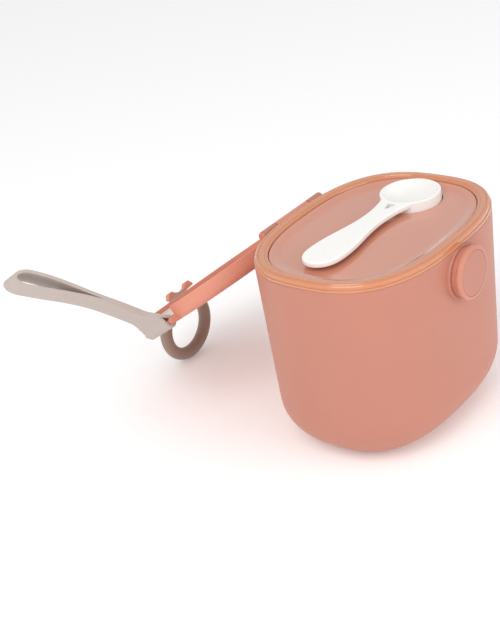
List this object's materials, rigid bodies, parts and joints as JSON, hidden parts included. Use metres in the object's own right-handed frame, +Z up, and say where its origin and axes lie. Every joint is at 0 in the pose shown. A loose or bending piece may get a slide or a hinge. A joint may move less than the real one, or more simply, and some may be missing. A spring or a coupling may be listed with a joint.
{
  "type": "formula dispenser",
  "caption": "Oval lidded tub for milk powder with a clip-in collar, a lift-out cover holding a measuring scoop, a hinged lid with an elastic latch ring and a carry strap.",
  "frame": {"origin": "middle of the tub's flat resting face", "axes": "+Z up, X along the hinge and the tub's long side, +Y from the catch towards the hinge"},
  "size_m": [0.194, 0.1992, 0.1175],
  "materials": {
    "tub_plastic": "satin",
    "collar_plastic": "translucent gloss",
    "seal_silicone": "matte",
    "cover_plastic": "milky gloss",
    "scoop_plastic": "gloss",
    "lid_plastic": "satin",
    "gasket_silicone": "matte",
    "pin_plastic": "satin",
    "knob_plastic": "satin",
    "cap_plastic": "satin",
    "ring_silicone": "matte",
    "strap_silicone": "matte"
  },
  "bodies": {
    "tub": {"tub": "tub_plastic", "rim_collar": "collar_plastic", "collar_seal": "seal_silicone", "cover_seal": "seal_silicone", "hinge_pin": "pin_plastic", "knob_stem": "knob_plastic", "knob_cap": "cap_plastic"},
    "lid": {"lid_shell": "lid_plastic", "lid_gasket": "gasket_silicone"},
    "cover": {"inner_cover": "cover_plastic"},
    "scoop": {"scoop": "scoop_plastic"},
    "ring": {"latch_ring": "ring_silicone"},
    "strap": {"strap_loop": "strap_silicone"}
  },
  "joints": [
    {"name": "lid_hinge", "type": "hinge", "parent": "tub", "child": "lid", "pos_m": [0, 0.0513, 0.09915], "axis": [-1, 0, 0], "range_deg": [-213.8, 0]},
    {"name": "ring_swing", "type": "hinge", "parent": "lid", "child": "ring", "pos_m": [-0.004, 0.13563, 0.03746], "axis": [1, 0, 0], "range_deg": [-30, 8]},
    {"name": "strap_swing", "type": "hinge", "parent": "lid", "child": "strap", "pos_m": [-0.0689, 0.08906, 0.06334], "axis": [0, 0.831, -0.5563], "range_deg": [-105, 33]},
    {"name": "cover_lift", "type": "slide", "parent": "tub", "child": "cover", "axis": [0, 0, 1], "range_m": [0, 0.045]},
    {"name": "scoop_lift", "type": "slide", "parent": "cover", "child": "scoop", "axis": [0, 0, 1], "range_m": [0, 0.05]}
  ]
}
